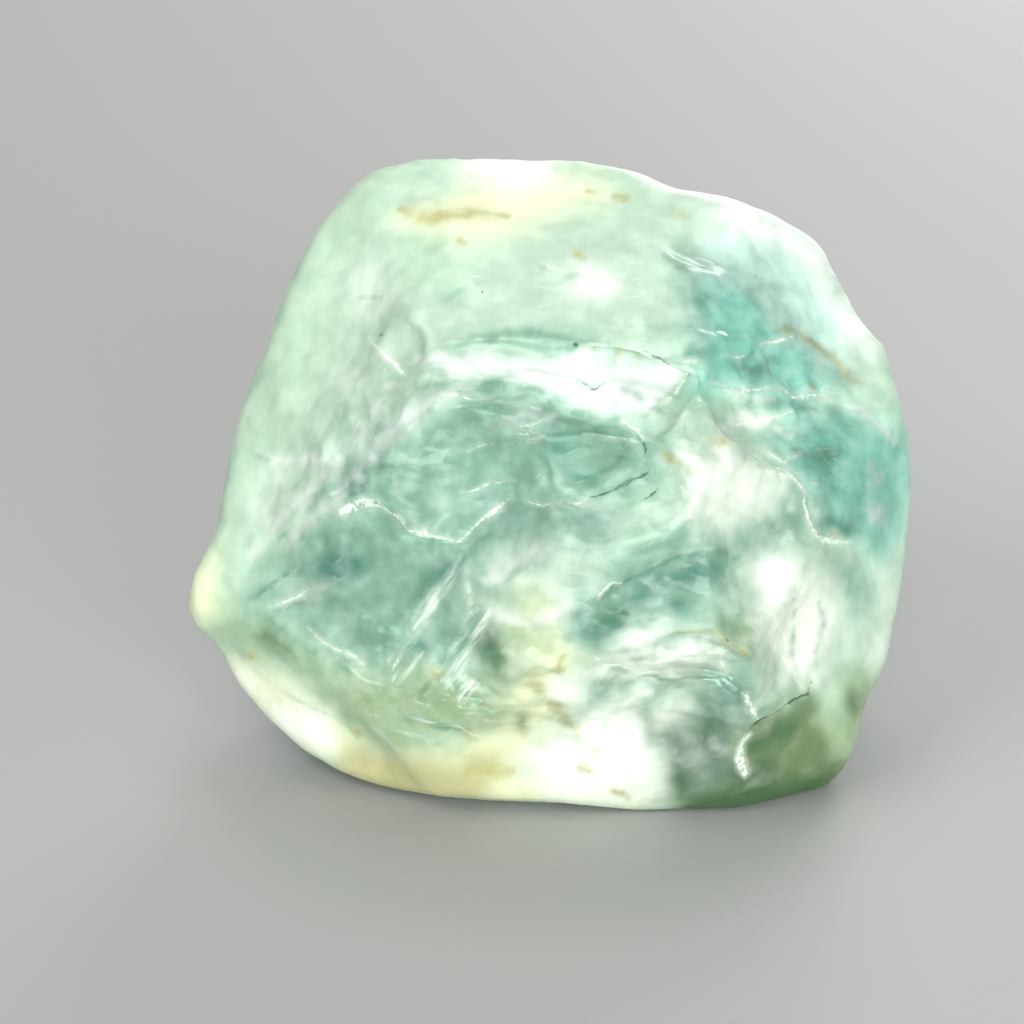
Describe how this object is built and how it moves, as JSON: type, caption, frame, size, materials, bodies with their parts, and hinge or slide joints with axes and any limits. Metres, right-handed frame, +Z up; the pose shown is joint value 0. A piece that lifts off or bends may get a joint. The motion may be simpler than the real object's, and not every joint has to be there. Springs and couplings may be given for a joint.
{
  "type": "raw fluorite",
  "caption": "Rough rounded lump of pale blue-green raw fluorite with cleavage faces, ledges and scooped flake scars, resting on a flat.",
  "frame": {"origin": "centre of the bounding box in plan, on the surface that the lump rests on", "axes": "+Z up, +X to the right along the lump's longest side, the broad broken face looks towards -Y"},
  "size_m": [0.04, 0.0298, 0.031],
  "materials": {
    "fluorite": "pale blue-green translucent fluorite, glossy on fresh cleavage, frosted on worn faces"
  },
  "bodies": {
    "root": {"raw_fluorite": "fluorite"}
  },
  "joints": []
}
